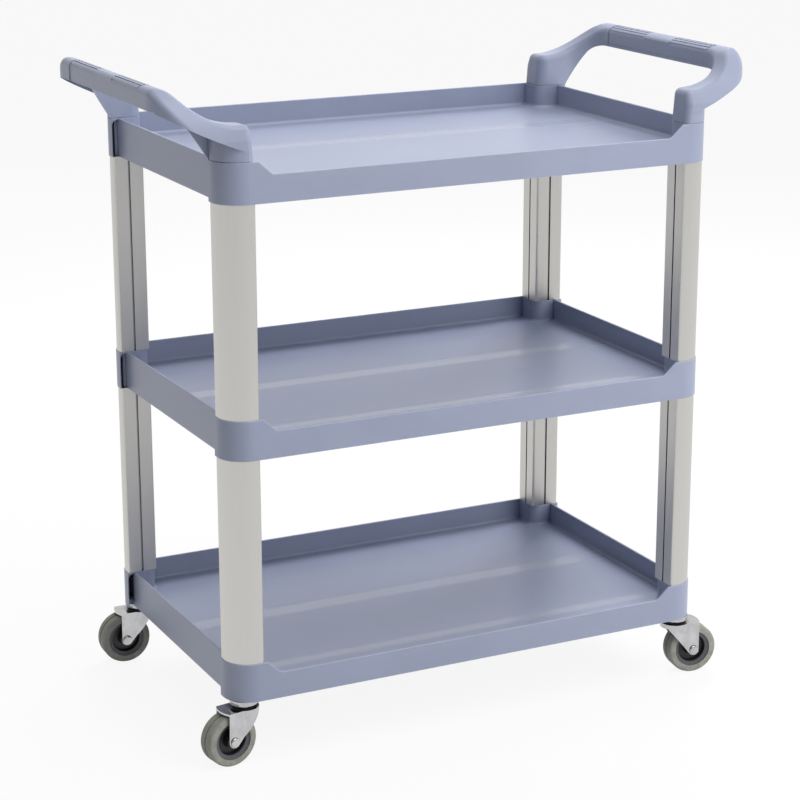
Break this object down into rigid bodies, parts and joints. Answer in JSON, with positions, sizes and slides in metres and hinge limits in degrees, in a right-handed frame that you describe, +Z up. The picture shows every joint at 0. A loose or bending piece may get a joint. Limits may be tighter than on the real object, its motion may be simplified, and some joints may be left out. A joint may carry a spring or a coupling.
{
  "type": "shelf trolley",
  "caption": "Tiered plastic shelf trolley with aluminium corner posts, a moulded push handle at each end and swivel casters, for wheeling tableware and stores.",
  "frame": {"origin": "on the floor under the middle of the trolley", "axes": "+X along the trolley from the left handle to the right one, +Y from the low lip at the front to the back wall, +Z up"},
  "size_m": [0.864, 0.4502, 0.893],
  "materials": {
    "shelf_plastic": "fine satin moulding texture",
    "handle_plastic": "satin moulding",
    "post_aluminium": "satin anodised extrusion",
    "fastener_steel": "zinc plated",
    "caster_plating": "bright plated pressed steel",
    "wheel_plastic": "satin black moulding",
    "tyre_rubber": "matt grey rubber"
  },
  "bodies": {
    "frame": {"top_shelf": "shelf_plastic", "middle_shelf": "shelf_plastic", "bottom_shelf": "shelf_plastic", "lower_post_front_left": "post_aluminium", "upper_post_front_left": "post_aluminium", "lower_post_front_right": "post_aluminium", "upper_post_front_right": "post_aluminium", "lower_post_rear_left": "post_aluminium", "upper_post_rear_left": "post_aluminium", "lower_post_rear_right": "post_aluminium", "upper_post_rear_right": "post_aluminium", "left_handle": "handle_plastic", "right_handle": "handle_plastic", "tie_rods": "fastener_steel", "handle_nuts": "fastener_steel", "coupling_nuts": "fastener_steel", "caster_stem_front_left": "fastener_steel", "upper_race_front_left": "caster_plating", "caster_stem_front_right": "fastener_steel", "upper_race_front_right": "caster_plating", "caster_stem_rear_left": "fastener_steel", "upper_race_rear_left": "caster_plating", "caster_stem_rear_right": "fastener_steel", "upper_race_rear_right": "caster_plating"},
    "swivel_front_left": {"fork_front_left": "caster_plating", "bearing_balls_front_left": "fastener_steel", "axle_bolt_front_left": "caster_plating", "axle_nut_front_left": "caster_plating", "axle_sleeve_front_left": "fastener_steel"},
    "wheel_front_left": {"wheel_core_front_left": "wheel_plastic", "tyre_front_left": "tyre_rubber"},
    "swivel_front_right": {"fork_front_right": "caster_plating", "bearing_balls_front_right": "fastener_steel", "axle_bolt_front_right": "caster_plating", "axle_nut_front_right": "caster_plating", "axle_sleeve_front_right": "fastener_steel"},
    "wheel_front_right": {"wheel_core_front_right": "wheel_plastic", "tyre_front_right": "tyre_rubber"},
    "swivel_rear_left": {"fork_rear_left": "caster_plating", "bearing_balls_rear_left": "fastener_steel", "axle_bolt_rear_left": "caster_plating", "axle_nut_rear_left": "caster_plating", "axle_sleeve_rear_left": "fastener_steel"},
    "wheel_rear_left": {"wheel_core_rear_left": "wheel_plastic", "tyre_rear_left": "tyre_rubber"},
    "swivel_rear_right": {"fork_rear_right": "caster_plating", "bearing_balls_rear_right": "fastener_steel", "axle_bolt_rear_right": "caster_plating", "axle_nut_rear_right": "caster_plating", "axle_sleeve_rear_right": "fastener_steel"},
    "wheel_rear_right": {"wheel_core_rear_right": "wheel_plastic", "tyre_rear_right": "tyre_rubber"}
  },
  "joints": [
    {"name": "swivel_turn_front_left", "type": "hinge", "parent": "frame", "child": "swivel_front_left", "pos_m": [-0.3363, -0.1993, 0.0745], "axis": [0, 0, 1], "continuous": true},
    {"name": "wheel_roll_front_left", "type": "hinge", "parent": "swivel_front_left", "child": "wheel_front_left", "pos_m": [-0.3605, -0.20313, 0.036], "axis": [-0.1564, 0.9877, 0], "continuous": true},
    {"name": "swivel_turn_front_right", "type": "hinge", "parent": "frame", "child": "swivel_front_right", "pos_m": [0.3363, -0.1993, 0.0745], "axis": [0, 0, 1], "continuous": true},
    {"name": "wheel_roll_front_right", "type": "hinge", "parent": "swivel_front_right", "child": "wheel_front_right", "pos_m": [0.3605, -0.20313, 0.036], "axis": [-0.1564, -0.9877, 0], "continuous": true},
    {"name": "swivel_turn_rear_left", "type": "hinge", "parent": "frame", "child": "swivel_rear_left", "pos_m": [-0.3363, 0.1993, 0.0745], "axis": [0, 0, 1], "continuous": true},
    {"name": "wheel_roll_rear_left", "type": "hinge", "parent": "swivel_rear_left", "child": "wheel_rear_left", "pos_m": [-0.36079, 0.20015, 0.036], "axis": [0.0349, 0.9994, 0], "continuous": true},
    {"name": "swivel_turn_rear_right", "type": "hinge", "parent": "frame", "child": "swivel_rear_right", "pos_m": [0.3363, 0.1993, 0.0745], "axis": [0, 0, 1], "continuous": true},
    {"name": "wheel_roll_rear_right", "type": "hinge", "parent": "swivel_rear_right", "child": "wheel_rear_right", "pos_m": [0.36067, 0.20186, 0.036], "axis": [0.1045, -0.9945, 0], "continuous": true}
  ]
}
